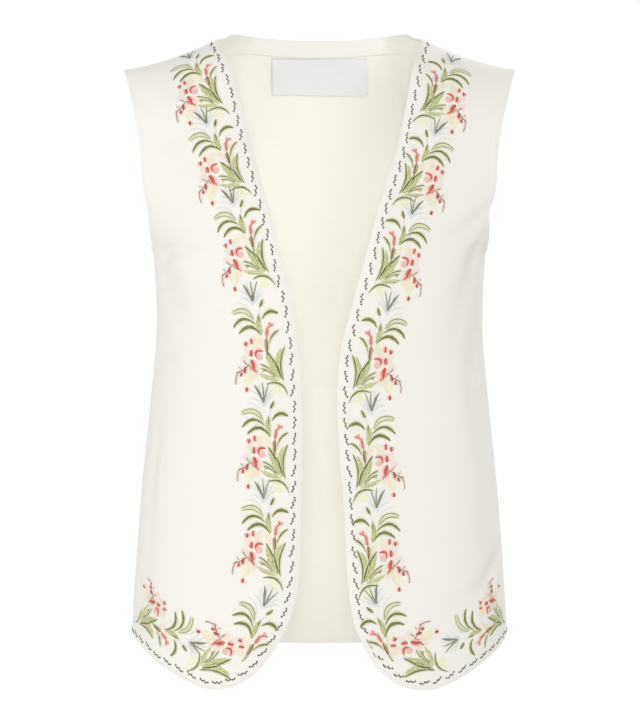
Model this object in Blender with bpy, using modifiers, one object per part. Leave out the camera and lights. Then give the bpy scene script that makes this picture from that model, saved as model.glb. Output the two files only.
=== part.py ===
"""Open waistcoat in the form it takes when worn: two fronts, a back, a neck facing and a plain label.

Metres, +Z up. The fronts face -Y and the wearer's left is +X.
The origin lies halfway between the middles of the two shoulder seams.
"""
import bpy
import numpy as np

# Cloth thickness and the clearances between pieces
WALL = 0.0020
SEAM_GAP = 0.0005
FACING_WALL = 0.0010
LABEL_WALL = 0.0010
LAID_ON_GAP = 0.0007

# Shoulder line, which drops from the neck point to the tip
NECK_POINT_X = 0.0995
NECK_POINT_Z = 0.0165
SHOULDER_SLOPE = 0.50
SHOULDER_HOLLOW = 1.9
NECK_RISE = 30.0
ROUND_OVER = 0.060

# How far the sections are fuller than an ellipse
SQUARENESS = 0.10

# Hem and underarm heights
UNDERARM_Z = -0.1875
SIDE_HEM_Z = -0.5600
BACK_HEM_Z = -0.5790

# Label on the inside of the back
LABEL_WIDTH = 0.094
LABEL_HEIGHT = 0.0345
LABEL_TOP_Z = 0.0040

# Body sections: height, half width, extra width of the armhole caps, front depth, back depth
SECTIONS = (
    (-0.618, 0.1850, 0.0000, 0.125, 0.116),
    (-0.528, 0.1799, 0.0000, 0.122, 0.112),
    (-0.408, 0.1712, 0.0000, 0.118, 0.103),
    (-0.323, 0.1625, 0.0000, 0.116, 0.096),
    (-0.263, 0.1578, 0.0000, 0.118, 0.096),
    (-0.218, 0.1590, 0.0000, 0.119, 0.101),
    (-0.200, 0.1603, 0.0000, 0.118, 0.1035),
    (-0.1875, 0.1614, 0.0006, 0.117, 0.105),
    (-0.1775, 0.1622, 0.0064, 0.1153, 0.1055),
    (-0.163, 0.1643, 0.0132, 0.112, 0.106),
    (-0.128, 0.1700, 0.0330, 0.101, 0.103),
    (-0.078, 0.1780, 0.0480, 0.081, 0.093),
    (-0.018, 0.1840, 0.0360, 0.060, 0.074),
    (0.042, 0.1850, 0.0300, 0.046, 0.058),
)
CAP_POWER = 5

# Front edge from the corner up to the neck point: height, wearer's right, wearer's left
FRONT_EDGE = (
    (-0.5617, 0.0407, 0.0418),
    (-0.5463, 0.0314, 0.0345),
    (-0.5250, 0.0241, 0.0297),
    (-0.5000, 0.0198, 0.0264),
    (-0.4600, 0.0180, 0.0243),
    (-0.4200, 0.0168, 0.0222),
    (-0.3800, 0.0163, 0.0188),
    (-0.3400, 0.0169, 0.0167),
    (-0.3000, 0.0186, 0.0184),
    (-0.2700, 0.0215, 0.0235),
    (-0.2400, 0.0255, 0.0318),
    (-0.2100, 0.0336, 0.0400),
    (-0.1800, 0.0405, 0.0482),
    (-0.1500, 0.0482, 0.0560),
    (-0.1200, 0.0564, 0.0658),
    (-0.0900, 0.0645, 0.0745),
    (-0.0600, 0.0721, 0.0808),
    (-0.0300, 0.0797, 0.0866),
    (-0.0060, 0.0889, 0.0918),
    (0.0165, 0.0995, 0.0995),
)

# Front hem from the corner out to the side: distance from the centre, wearer's right, wearer's left
FRONT_HEM = (
    (0.0407, -0.5617, -0.5617),
    (0.0515, -0.5773, -0.5785),
    (0.0623, -0.5882, -0.5895),
    (0.0779, -0.5977, -0.5990),
    (0.0903, -0.6012, -0.6020),
    (0.1091, -0.6013, -0.6024),
    (0.1218, -0.5967, -0.5980),
    (0.1378, -0.5894, -0.5912),
    (0.1542, -0.5800, -0.5816),
    (0.1661, -0.5708, -0.5732),
    (0.1770, -0.5634, -0.5646),
    (0.1819, -0.5600, -0.5600),
)

# Armhole edges: height, angle round the body of the front edge and of the back edge
ARMHOLE = (
    (-0.1875, 90.0, 90.0),
    (-0.1850, 82.0, 83.0),
    (-0.1775, 74.5, 76.0),
    (-0.1630, 67.5, 69.5),
    (-0.1280, 60.5, 62.0),
    (-0.0780, 56.7, 57.6),
    (-0.0400, 59.9, 60.3),
    (-0.0127, 64.0, 64.0),
)

# Back neck edge: distance from the centre, height
BACK_NECK = (
    (0.0000, 0.0216),
    (0.0300, 0.0220),
    (0.0540, 0.0237),
    (0.0720, 0.0250),
    (0.0840, 0.0243),
    (0.0925, 0.0195),
    (0.0995, 0.0165),
)

# Largest folds: side, from angle, from height, to angle, to height, half width, depth
FRONT_FOLDS = (
    ("right", 84.0, -0.190, 38.0, -0.172, 0.011, 0.0030),
    ("right", 70.0, -0.205, 50.0, -0.255, 0.016, 0.0020),
    ("right", 66.0, -0.380, 64.0, -0.480, 0.014, 0.0020),
    ("left", 78.0, -0.160, 50.0, -0.176, 0.011, 0.0030),
    ("left", 72.0, -0.190, 52.0, -0.228, 0.017, 0.0030),
    ("left", 66.0, -0.290, 62.0, -0.345, 0.013, 0.0020),
    ("left", 80.0, -0.480, 44.0, -0.522, 0.014, 0.0032),
)
BACK_FOLDS = (
    ("right", 84.0, -0.185, 44.0, -0.200, 0.013, 0.0030),
    ("left", 82.0, -0.190, 48.0, -0.212, 0.013, 0.0028),
    ("right", 60.0, -0.322, 4.0, -0.326, 0.012, 0.0020),
    ("left", 52.0, -0.284, 8.0, -0.280, 0.014, 0.0018),
    ("left", 62.0, -0.420, 56.0, -0.540, 0.018, 0.0024),
)
GIRTH_RADIUS = 0.15

# Grid of each panel
ROWS_BELOW_UNDERARM = 18
ROWS_BESIDE_ARMHOLE = 11
ROWS_OVER_SHOULDER = 9
ROWS_OF_FACING = 6
COLUMNS_OF_FRONT = 13
COLUMNS_OF_NECK = 8
ROUND_SHARE = 0.108
ROW_CROWDING = 0.07
SEAM_STEP_DEGREES = 1.5
SEAM_STEP_SHARE = 0.008

# Colours
IVORY = (0.91, 0.90, 0.86)
LABEL_GREY = (0.80, 0.80, 0.81)


def clear_scene():
    for old in list(bpy.data.objects):
        bpy.data.objects.remove(old)


def column(table, number):
    return np.array([row[number] for row in table])


def smooth(known, values, at):
    """Soft curve through the values, each slope taken from its neighbours."""
    slopes = np.gradient(values, known)
    index = np.clip(np.searchsorted(known, at) - 1, 0, len(known) - 2)
    width = known[index + 1] - known[index]
    part = np.clip((at - known[index]) / width, 0, 1)
    start = (1 + 2 * part) * (1 - part) ** 2 * values[index]
    start = start + part * (1 - part) ** 2 * width * slopes[index]
    end = part * part * (3 - 2 * part) * values[index + 1]
    end = end + part * part * (part - 1) * width * slopes[index + 1]
    return start + end


def plan_x(angle, z):
    """Distance from the centre of a place at an angle round the body."""
    sine = np.sin(angle)
    body = smooth(column(SECTIONS, 0), column(SECTIONS, 1), z) * sine * (1 + SQUARENESS * np.cos(angle) ** 2)
    return body + smooth(column(SECTIONS, 0), column(SECTIONS, 2), z) * sine ** CAP_POWER


def plan_y(angle, z, of_back):
    """Distance in front of or behind the side seam of a place at an angle round the body."""
    depth = smooth(column(SECTIONS, 0), column(SECTIONS, 4 if of_back else 3), z)
    return depth * np.cos(angle) * (1 + SQUARENESS * np.sin(angle) ** 2)


def shoulder_z(x):
    """Height of the shoulder line, hollowed outside the neck point and steeper inside it."""
    out = np.abs(x) - NECK_POINT_X
    bend = np.where(out > 0, SHOULDER_HOLLOW, NECK_RISE)
    return NECK_POINT_Z - SHOULDER_SLOPE * out + bend * out ** 2


def angle_at(x, z):
    """Angle round the body of a place x from the centre, 0 at the centre and 90 degrees at the side."""
    low = np.zeros_like(x + z)
    high = low + np.pi / 2
    for _ in range(40):
        middle = (low + high) / 2
        short = plan_x(middle, z) < x
        low = np.where(short, middle, low)
        high = np.where(short, high, middle)
    return (low + high) / 2


def fold_depth(folds, side, angle, z):
    """How far the folds of one side draw the cloth in."""
    total = np.zeros_like(z)
    for name, angle_1, z_1, angle_2, z_2, wide, deep in folds:
        if name != side:
            continue
        along = np.array([np.radians(angle_2 - angle_1) * GIRTH_RADIUS, z_2 - z_1])
        across = (angle - np.radians(angle_1)) * GIRTH_RADIUS
        part = (across * along[0] + (z - z_1) * along[1]) / (along @ along)
        held = np.clip(part, 0, 1)
        away = np.hypot(across - held * along[0], z - z_1 - held * along[1])
        fade = 1 - 0.6 * held
        total += deep * fade * np.exp(-(away / wide) ** 2)
    return total


def body_point(angle, z, of_back, side):
    """Point of the cloth's outer face at an angle and a height, on the +X side."""
    x = plan_x(angle, z)
    below = np.clip((shoulder_z(x) - z) / ROUND_OVER, 0, 1)
    rolled = np.sqrt(1 - (1 - below) ** 2)
    y = plan_y(angle, z, of_back) * rolled + SEAM_GAP / 2
    drawn_in = fold_depth(BACK_FOLDS if of_back else FRONT_FOLDS, side, angle, z) * rolled
    x = x - drawn_in * np.sin(angle)
    y = y - drawn_in * np.cos(angle)
    return np.stack([x, y if of_back else -y, z + 0 * x], axis=-1)


def row_shares():
    """Share of the height of each row, closer together where the cloth rolls over the shoulder."""
    tip_z = shoulder_seam(np.array([1.0]))[1][0]
    at_underarm = (UNDERARM_Z - SIDE_HEM_Z) / (tip_z - SIDE_HEM_Z)
    even = np.linspace(0, 1, ROWS_BELOW_UNDERARM, endpoint=False)
    low = at_underarm * (even - ROW_CROWDING * np.sin(2 * np.pi * even))
    reach = 1 - ROUND_SHARE - at_underarm
    middle = at_underarm + reach * np.linspace(0, 1, ROWS_BESIDE_ARMHOLE, endpoint=False) ** 1.4
    turn = np.radians(np.append(np.linspace(90, 0, ROWS_OVER_SHOULDER, endpoint=False), [SEAM_STEP_DEGREES, 0]))
    return np.concatenate([low, middle, 1 - ROUND_SHARE * (1 - np.cos(turn))])


def column_shares(count):
    """Share of the width of each column, with one close to the side seam."""
    return np.append(np.linspace(0, 1, count, endpoint=False), [1 - SEAM_STEP_SHARE, 1])


def outer_edge(shares, of_back):
    """Angle of the side seam and of the armhole at each row."""
    tip_z = shoulder_seam(np.array([1.0]))[1][0]
    z = SIDE_HEM_Z + (tip_z - SIDE_HEM_Z) * shares
    on_armhole = np.clip(z, UNDERARM_Z, None)
    degrees = smooth(column(ARMHOLE, 0), column(ARMHOLE, 2 if of_back else 1), on_armhole)
    degrees[-1] = ARMHOLE[-1][1]
    return np.radians(np.clip(degrees, 0, 90))


def patch(inner, outer, low_angle, low_z, top_angle, top_z, shares, across):
    """Angles and heights of a grid that fills in between four edges."""
    row = shares[:, None]
    side = across[None, :]
    z = (1 - row) * low_z[None, :] + row * top_z[None, :]
    angle = (1 - row) * low_angle[None, :] + row * top_angle[None, :]
    straight_in = (1 - row) * low_angle[0] + row * top_angle[0]
    straight_out = (1 - row) * low_angle[-1] + row * top_angle[-1]
    angle = angle + (1 - side) * (inner[:, None] - straight_in)
    angle = angle + side ** 3 * (outer[:, None] - straight_out)
    return angle, z


def shoulder_seam(shares):
    """Angles and heights along the shoulder seam from the neck point to the tip."""
    start = angle_at(np.array(NECK_POINT_X), np.array(NECK_POINT_Z))
    angle = start + (np.radians(ARMHOLE[-1][1]) - start) * shares
    z = np.full_like(angle, NECK_POINT_Z)
    for _ in range(30):
        z = shoulder_z(plan_x(angle, z))
    return angle, z


def front_grid(side):
    """Points of one front, rows from the hem to the shoulder, columns from the edge to the side."""
    number = 1 if side == "right" else 2
    shares = row_shares()
    across = column_shares(COLUMNS_OF_FRONT)
    edge_z, edge_x = column(FRONT_EDGE, 0), column(FRONT_EDGE, number)
    z = edge_z[0] + (edge_z[-1] - edge_z[0]) * shares
    inner = angle_at(smooth(edge_z, edge_x, z), z)
    hem_x, hem_z = column(FRONT_HEM, 0), column(FRONT_HEM, number)
    hem_angles = angle_at(hem_x, hem_z)
    hem_angles[0] = inner[0]
    hem_angles[-1] = np.pi / 2
    low_angle = hem_angles[0] + (hem_angles[-1] - hem_angles[0]) * across
    low_z = smooth(hem_angles, hem_z, low_angle)
    top_angle, top_z = shoulder_seam(across)
    angle, z = patch(inner, outer_edge(shares, False), low_angle, low_z, top_angle, top_z, shares, across)
    return body_point(angle, z, False, side)


def back_grid(side):
    """Points of half the back, rows from the hem to the neck and shoulder, columns from the centre."""
    shares = row_shares()
    over_shoulder = column_shares(COLUMNS_OF_FRONT)
    over_neck = np.sin(np.linspace(0, np.pi / 2, COLUMNS_OF_NECK, endpoint=False))
    split = COLUMNS_OF_NECK / (COLUMNS_OF_NECK + COLUMNS_OF_FRONT)
    under_neck = np.linspace(0, split, COLUMNS_OF_NECK, endpoint=False)
    across = np.concatenate([under_neck, split + (1 - split) * over_shoulder])
    neck_x = NECK_POINT_X * over_neck
    neck_z = smooth(column(BACK_NECK, 0), column(BACK_NECK, 1), neck_x)
    seam_angle, seam_z = shoulder_seam(over_shoulder)
    top_angle = np.concatenate([angle_at(neck_x, neck_z), seam_angle])
    top_z = np.concatenate([neck_z, seam_z])
    low_angle = np.pi / 2 * across
    low_z = BACK_HEM_Z + (SIDE_HEM_Z - BACK_HEM_Z) * np.sin(low_angle) ** 2
    inner = np.zeros_like(shares)
    angle, z = patch(inner, outer_edge(shares, True), low_angle, low_z, top_angle, top_z, shares, across)
    return body_point(angle, z, True, side)


def mirrored(grid):
    return grid * np.array([-1.0, 1.0, 1.0])


def whole_back_grid():
    """Points of the whole back, columns from the wearer's right to the wearer's left."""
    right = mirrored(back_grid("right"))[:, ::-1]
    left = back_grid("left")
    middle = (right[:, -1:] + left[:, :1]) / 2
    return np.concatenate([right[:, :-1], middle, left[:, 1:]], axis=1)


def outward(grid):
    """Unit vectors square to a grid and away from the body."""
    along = np.gradient(grid, axis=1)
    up = np.gradient(grid, axis=0)
    square = np.cross(along, up)
    square /= np.linalg.norm(square, axis=2, keepdims=True)
    from_axis = grid * np.array([1.0, 1.0, 0.0]) + np.array([0.0, 0.0, 0.02])
    sign = np.sign(np.sum(square * from_axis))
    return square * sign


def material(name, colour, roughness):
    made = bpy.data.materials.new(name)
    made.use_nodes = True
    shader = made.node_tree.nodes["Principled BSDF"]
    shader.inputs["Base Color"].default_value = (*colour, 1.0)
    shader.inputs["Roughness"].default_value = roughness
    return made


def sheet(name, grid, wall, cloth):
    """Solid cloth whose outer face is the grid and whose wall goes in towards the body."""
    rows, columns = grid.shape[:2]
    faces = []
    for row in range(rows - 1):
        for place in range(columns - 1):
            first = row * columns + place
            faces.append((first, first + 1, first + columns + 1, first + columns))
    made_square = np.cross(grid[1:, 1:] - grid[:-1, :-1], grid[1:, :-1] - grid[:-1, 1:])
    if np.sum(made_square * outward(grid)[1:, 1:]) < 0:
        faces = [face[::-1] for face in faces]
    mesh = bpy.data.meshes.new(name)
    mesh.from_pydata(grid.reshape(-1, 3).tolist(), [], faces)
    mesh.materials.append(cloth)
    mesh.polygons.foreach_set("use_smooth", [True] * len(faces))
    piece = bpy.data.objects.new(name, mesh)
    waistcoat.objects.link(piece)
    thick = piece.modifiers.new("Wall", "SOLIDIFY")
    thick.thickness = wall
    thick.offset = -1.0
    return piece


def facing_grid(back):
    """Strip of the back's own points under the neck edge, moved in off the back's inner face."""
    first = COLUMNS_OF_FRONT + 1
    last = back.shape[1] - first
    inside = back - outward(back) * (WALL + LAID_ON_GAP)
    return inside[-ROWS_OF_FACING:, first:last]


def label_grid():
    """Plain label on the inner face of the back, under the facing."""
    x = np.linspace(-LABEL_WIDTH / 2, LABEL_WIDTH / 2, 9)[None, :]
    z = np.linspace(LABEL_TOP_Z - LABEL_HEIGHT, LABEL_TOP_Z, 5)[:, None] + 0 * x
    angle = angle_at(np.abs(x) + 0 * z, z)
    grid = body_point(angle, z, True, "none")
    grid[:, :, 0] = x
    return grid - outward(grid) * (WALL + LAID_ON_GAP)


clear_scene()
waistcoat = bpy.data.collections.new("embroidered_waistcoat")
bpy.context.scene.collection.children.link(waistcoat)
cloth = material("ivory_cloth", IVORY, 0.85)
satin = material("label_satin", LABEL_GREY, 0.45)
sheet("right_front", mirrored(front_grid("right")), WALL, cloth)
sheet("left_front", front_grid("left"), WALL, cloth)
back = whole_back_grid()
sheet("back", back, WALL, cloth)
sheet("back_neck_facing", facing_grid(back), FACING_WALL, cloth)
sheet("label", label_grid(), LABEL_WALL, satin)
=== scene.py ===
"""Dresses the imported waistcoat: fine cloth, embroidered borders, facing, label, light and camera."""
import bpy
import numpy as np
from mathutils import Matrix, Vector
from mathutils.bvhtree import BVHTree
from mathutils.kdtree import KDTree


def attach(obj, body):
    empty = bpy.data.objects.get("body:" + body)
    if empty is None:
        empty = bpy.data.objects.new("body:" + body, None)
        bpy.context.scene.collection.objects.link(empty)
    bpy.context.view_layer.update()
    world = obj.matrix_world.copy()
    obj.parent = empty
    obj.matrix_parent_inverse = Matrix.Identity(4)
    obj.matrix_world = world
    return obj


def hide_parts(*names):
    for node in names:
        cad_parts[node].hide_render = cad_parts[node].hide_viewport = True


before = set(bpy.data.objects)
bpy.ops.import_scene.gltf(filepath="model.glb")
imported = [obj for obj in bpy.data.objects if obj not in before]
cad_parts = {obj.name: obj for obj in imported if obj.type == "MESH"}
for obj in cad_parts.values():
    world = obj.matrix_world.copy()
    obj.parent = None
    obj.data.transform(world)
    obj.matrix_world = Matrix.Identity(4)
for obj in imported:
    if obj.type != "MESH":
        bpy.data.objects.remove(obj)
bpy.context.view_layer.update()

# Cloth: walls, gaps, turned edges that are a little thicker, and free edges that ease in
CLOTH_WALL = 0.0016
CLOTH_EDGE_ROUND = 0.0006
SEAM_GAP = 0.0003
ROLL_REACH = 0.010
ROLL_BACK = 0.0022
TURNED_REACH = 0.007
TURNED_EASE = 0.002
TURNED_LIFT = 0.0003
LAID_ON_GAP = 0.0003
FACING_WALL = 0.0009
FACING_EDGE_ROUND = 0.0003
LABEL_WALL = 0.0007
LABEL_EDGE_ROUND = 0.0002

# Shoulder line from the neck point to the tip, how the cloth rounds over it, and the body section
NECK_POINT_X = 0.0995
NECK_POINT_Z = 0.0165
SHOULDER_SLOPE = 0.50
SHOULDER_HOLLOW = 1.9
NECK_RISE = 30.0
ROUND_OVER = 0.060
SQUARENESS = 0.10
CAP_POWER = 5
ARMHOLE_POWER = 3

# Hem and underarm heights
UNDERARM_Z = -0.1875
SIDE_HEM_Z = -0.5600
BACK_HEM_Z = -0.5790

# Label and facing on the inside of the back
LABEL_WIDTH = 0.094
LABEL_HEIGHT = 0.0345
LABEL_TOP_Z = 0.0040
LABEL_LIFT = 0.0003
LABEL_FULLNESS = 0.0006
LABEL_LOW_EDGE_LIFT = 0.0006
LABEL_WAVE = 0.0004
LABEL_SAG = 0.0005
LABEL_COLUMNS = 48
LABEL_ROWS = 24
FACING_DROP = 0.0160
FACING_ROWS = 20

# Body sections: height, half width, extra width of the armhole caps, front depth, back depth
SECTIONS = (
    (-0.618, 0.1850, 0.0000, 0.125, 0.116),
    (-0.528, 0.1799, 0.0000, 0.122, 0.112),
    (-0.408, 0.1712, 0.0000, 0.118, 0.103),
    (-0.323, 0.1625, 0.0000, 0.116, 0.096),
    (-0.263, 0.1578, 0.0000, 0.118, 0.096),
    (-0.218, 0.1590, 0.0000, 0.119, 0.101),
    (-0.200, 0.1603, 0.0000, 0.118, 0.1035),
    (-0.1875, 0.1614, 0.0006, 0.117, 0.105),
    (-0.1775, 0.1622, 0.0064, 0.1153, 0.1055),
    (-0.163, 0.1643, 0.0132, 0.112, 0.106),
    (-0.128, 0.1700, 0.0330, 0.101, 0.103),
    (-0.078, 0.1780, 0.0480, 0.081, 0.093),
    (-0.018, 0.1840, 0.0360, 0.060, 0.074),
    (0.042, 0.1850, 0.0300, 0.046, 0.058),
)

# Front edge from the corner up to the neck point: height, wearer's right, wearer's left
FRONT_EDGE = (
    (-0.5617, 0.0407, 0.0418),
    (-0.5463, 0.0314, 0.0345),
    (-0.5250, 0.0241, 0.0297),
    (-0.5000, 0.0198, 0.0264),
    (-0.4600, 0.0180, 0.0243),
    (-0.4200, 0.0168, 0.0222),
    (-0.3800, 0.0163, 0.0188),
    (-0.3400, 0.0169, 0.0167),
    (-0.3000, 0.0186, 0.0184),
    (-0.2700, 0.0215, 0.0235),
    (-0.2400, 0.0255, 0.0318),
    (-0.2100, 0.0336, 0.0400),
    (-0.1800, 0.0405, 0.0482),
    (-0.1500, 0.0482, 0.0560),
    (-0.1200, 0.0564, 0.0658),
    (-0.0900, 0.0645, 0.0745),
    (-0.0600, 0.0721, 0.0808),
    (-0.0300, 0.0797, 0.0866),
    (-0.0060, 0.0889, 0.0918),
    (0.0165, 0.0995, 0.0995),
)

# Front hem from the corner out to the side: distance from the centre, wearer's right, wearer's left
FRONT_HEM = (
    (0.0407, -0.5617, -0.5617),
    (0.0515, -0.5773, -0.5785),
    (0.0623, -0.5882, -0.5895),
    (0.0779, -0.5977, -0.5990),
    (0.0903, -0.6012, -0.6020),
    (0.1091, -0.6013, -0.6024),
    (0.1218, -0.5967, -0.5980),
    (0.1378, -0.5894, -0.5912),
    (0.1542, -0.5800, -0.5816),
    (0.1661, -0.5708, -0.5732),
    (0.1770, -0.5634, -0.5646),
    (0.1819, -0.5600, -0.5600),
)

# Armhole edges: height, angle round the body of the front edge and of the back edge
ARMHOLE = (
    (-0.1875, 90.0, 90.0),
    (-0.1850, 82.0, 83.0),
    (-0.1775, 74.5, 76.0),
    (-0.1630, 67.5, 69.5),
    (-0.1280, 60.5, 62.0),
    (-0.0780, 56.7, 57.6),
    (-0.0400, 59.9, 60.3),
    (-0.0127, 64.0, 64.0),
)

# Back neck edge: distance from the centre, height
BACK_NECK = (
    (0.0000, 0.0216),
    (0.0300, 0.0220),
    (0.0540, 0.0237),
    (0.0720, 0.0250),
    (0.0840, 0.0243),
    (0.0925, 0.0195),
    (0.0995, 0.0165),
)

# Folds, a minus depth standing out: side, angle and height of start and end, half width, depth
FRONT_FOLDS = (
    ("right", 62.0, -0.189, 36.0, -0.178, 0.010, 0.0042),
    ("right", 66.0, -0.216, 50.0, -0.262, 0.018, 0.0038),
    ("right", 66.0, -0.380, 64.0, -0.480, 0.013, 0.0026),
    ("right", 62.0, -0.205, 48.0, -0.197, 0.007, -0.0010),
    ("right", 58.0, -0.030, 44.0, -0.110, 0.012, 0.0018),
    ("right", 76.0, -0.300, 60.0, -0.285, 0.010, 0.0018),
    ("right", 74.0, -0.515, 50.0, -0.545, 0.013, 0.0024),
    ("right", 62.0, -0.395, 60.0, -0.470, 0.006, -0.0010),
    ("left", 59.0, -0.160, 44.0, -0.184, 0.010, 0.0038),
    ("left", 64.0, -0.205, 54.0, -0.250, 0.017, 0.0042),
    ("left", 66.0, -0.290, 62.0, -0.345, 0.013, 0.0026),
    ("left", 72.0, -0.490, 44.0, -0.528, 0.013, 0.0062),
    ("left", 62.0, -0.180, 54.0, -0.192, 0.007, -0.0008),
    ("left", 56.0, -0.035, 42.0, -0.120, 0.013, 0.0017),
    ("left", 80.0, -0.312, 64.0, -0.300, 0.010, 0.0018),
    ("left", 76.0, -0.462, 52.0, -0.500, 0.010, -0.0016),
)
BACK_FOLDS = (
    ("right", 62.0, -0.187, 30.0, -0.205, 0.011, 0.0046),
    ("left", 64.0, -0.192, 34.0, -0.216, 0.010, 0.0042),
    ("right", 60.0, -0.320, 2.0, -0.324, 0.007, 0.0024),
    ("left", 2.0, -0.322, 40.0, -0.328, 0.007, 0.0016),
    ("left", 52.0, -0.284, 4.0, -0.280, 0.009, 0.0020),
    ("left", 58.0, -0.400, 52.0, -0.560, 0.014, 0.0044),
    ("right", 70.0, -0.245, 30.0, -0.290, 0.009, 0.0030),
    ("left", 74.0, -0.255, 36.0, -0.300, 0.010, 0.0030),
    ("right", 52.0, -0.420, 44.0, -0.560, 0.012, 0.0036),
    ("left", 2.0, -0.028, 2.5, -0.075, 0.0035, 0.0009),
    ("left", 40.0, -0.060, 26.0, -0.120, 0.012, 0.0018),
    ("right", 42.0, -0.055, 30.0, -0.130, 0.011, 0.0020),
)
GIRTH_RADIUS = 0.15
FOLD_END = 0.45
FOLD_FADE = 0.6

# Depth of the slow unevenness, and how near the side seam it and the folds die away, in radians
HANG_SLOW = 0.00055
HANG_FINE = 0.00018
HANG_CALM_ANGLE = 0.2
FOLD_CALM_ANGLE = 0.4

# Fine grid of each panel
ROWS_BELOW_UNDERARM = 132
ROWS_BESIDE_ARMHOLE = 48
ROWS_OVER_SHOULDER = 30
COLUMNS_OF_FRONT = 78
COLUMNS_OF_NECK = 30
ROUND_SHARE = 0.108
ROW_CROWDING = 0.07
ARMHOLE_ROW_POWER = 1.2
EDGE_SAMPLING = 6

# Thread colours as linear red, green, blue
THREADS = {
    "olive": (0.195, 0.190, 0.066),
    "dark_olive": (0.140, 0.152, 0.034),
    "leaf": (0.290, 0.300, 0.086),
    "light_leaf": (0.520, 0.535, 0.262),
    "pale_leaf": (0.770, 0.770, 0.560),
    "yellow_green": (0.660, 0.670, 0.320),
    "slate": (0.225, 0.236, 0.150),
    "charcoal": (0.078, 0.080, 0.048),
    "pale_blue": (0.790, 0.805, 0.810),
    "lilac": (0.790, 0.785, 0.870),
    "red": (0.560, 0.105, 0.066),
    "dark_red": (0.400, 0.078, 0.058),
    "coral": (0.780, 0.235, 0.175),
    "pink": (0.900, 0.560, 0.500),
    "blush": (0.930, 0.800, 0.730),
    "peach": (0.930, 0.815, 0.670),
    "butter": (0.920, 0.895, 0.640),
    "rust": (0.270, 0.150, 0.070),
    "twig": (0.215, 0.150, 0.095),
}
PALE_THREADS = ("blush", "peach", "butter", "pale_leaf", "pale_blue", "lilac", "pink")
THREAD_NAMES = list(THREADS)

MILLIMETRE = 0.001

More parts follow.
